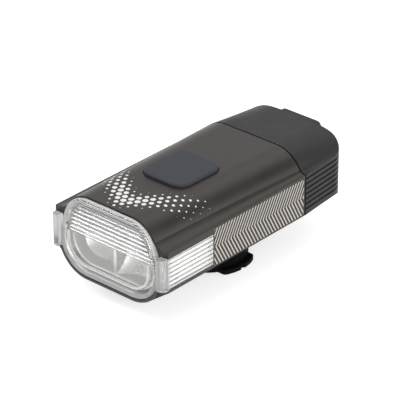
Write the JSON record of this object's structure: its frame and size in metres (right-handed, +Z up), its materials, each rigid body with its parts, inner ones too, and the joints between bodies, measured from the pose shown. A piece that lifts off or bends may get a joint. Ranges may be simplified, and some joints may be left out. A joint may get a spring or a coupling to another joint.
{
  "type": "bike headlight",
  "caption": "Compact handlebar bike light with a fluted front lens, side windows, a top push button, a covered charging port and a quarter-turn mount boss.",
  "frame": {"origin": "centre of the lower face of the mount boss and of the overall box, in millimetres in the source and metres in the row", "axes": "the beam leaves along -Y, +X is the light's right-hand side window as drawn, and +Z is up"},
  "size_m": [0.042, 0.083, 0.0318],
  "materials": {
    "shell": "dark grey-brown anodised aluminium, satin, with pale printed dots and lines",
    "moulding": "dark moulded plastic, fine satin grain",
    "clear": "clear moulded polycarbonate, glossy",
    "reflector": "vapour-metallised reflector, bright satin",
    "rubber": "dark blue-grey silicone rubber, matte",
    "seal": "black silicone seal, matte",
    "board": "green circuit board",
    "emitter_board": "metal-core board with white solder mask",
    "emitter": "emitter with yellow phosphor",
    "heat_metal": "bare machined aluminium",
    "component": "black moulded electronic component",
    "steel": "bright steel",
    "pack": "blue shrink-wrapped cell",
    "flex": "amber polyimide flex",
    "mount": "black glass-filled nylon"
  },
  "bodies": {
    "housing": {"top_shell": "shell", "lower_tray": "moulding", "rear_cap": "moulding", "rear_seal": "seal", "front_lens": "clear", "lens_gasket": "seal", "side_window_left": "clear", "side_window_right": "clear", "reflector": "reflector", "led_left": "emitter", "led_right": "emitter", "led_board": "emitter_board", "heat_block": "heat_metal", "thermal_pad": "seal", "led_flex": "flex", "main_board": "board", "board_screws": "steel", "tact_switch": "component", "status_led": "emitter", "driver_chip": "component", "driver_coil": "component", "usb_socket": "steel", "battery_pack": "pack", "battery_tabs": "steel", "button_seal": "seal", "usb_cover_anchor": "rubber", "tray_screws": "steel", "cap_screws": "steel", "plate_screws": "steel", "bayonet_plate": "mount"},
    "button": {"power_button": "rubber", "switch_plunger": "component"},
    "port_cover": {"usb_cover": "rubber"}
  },
  "joints": [
    {"name": "button_press", "type": "slide", "parent": "housing", "child": "button", "axis": [0, 0, -1], "range_m": [0, 0.0005], "stiffness_N_per_m": 800},
    {"name": "cover_swing", "type": "hinge", "parent": "housing", "child": "port_cover", "pos_m": [0, 0.0408, 0.0178], "axis": [-1, 0, 0], "range_deg": [0, 100], "stiffness_Nm_per_rad": 0.001}
  ]
}
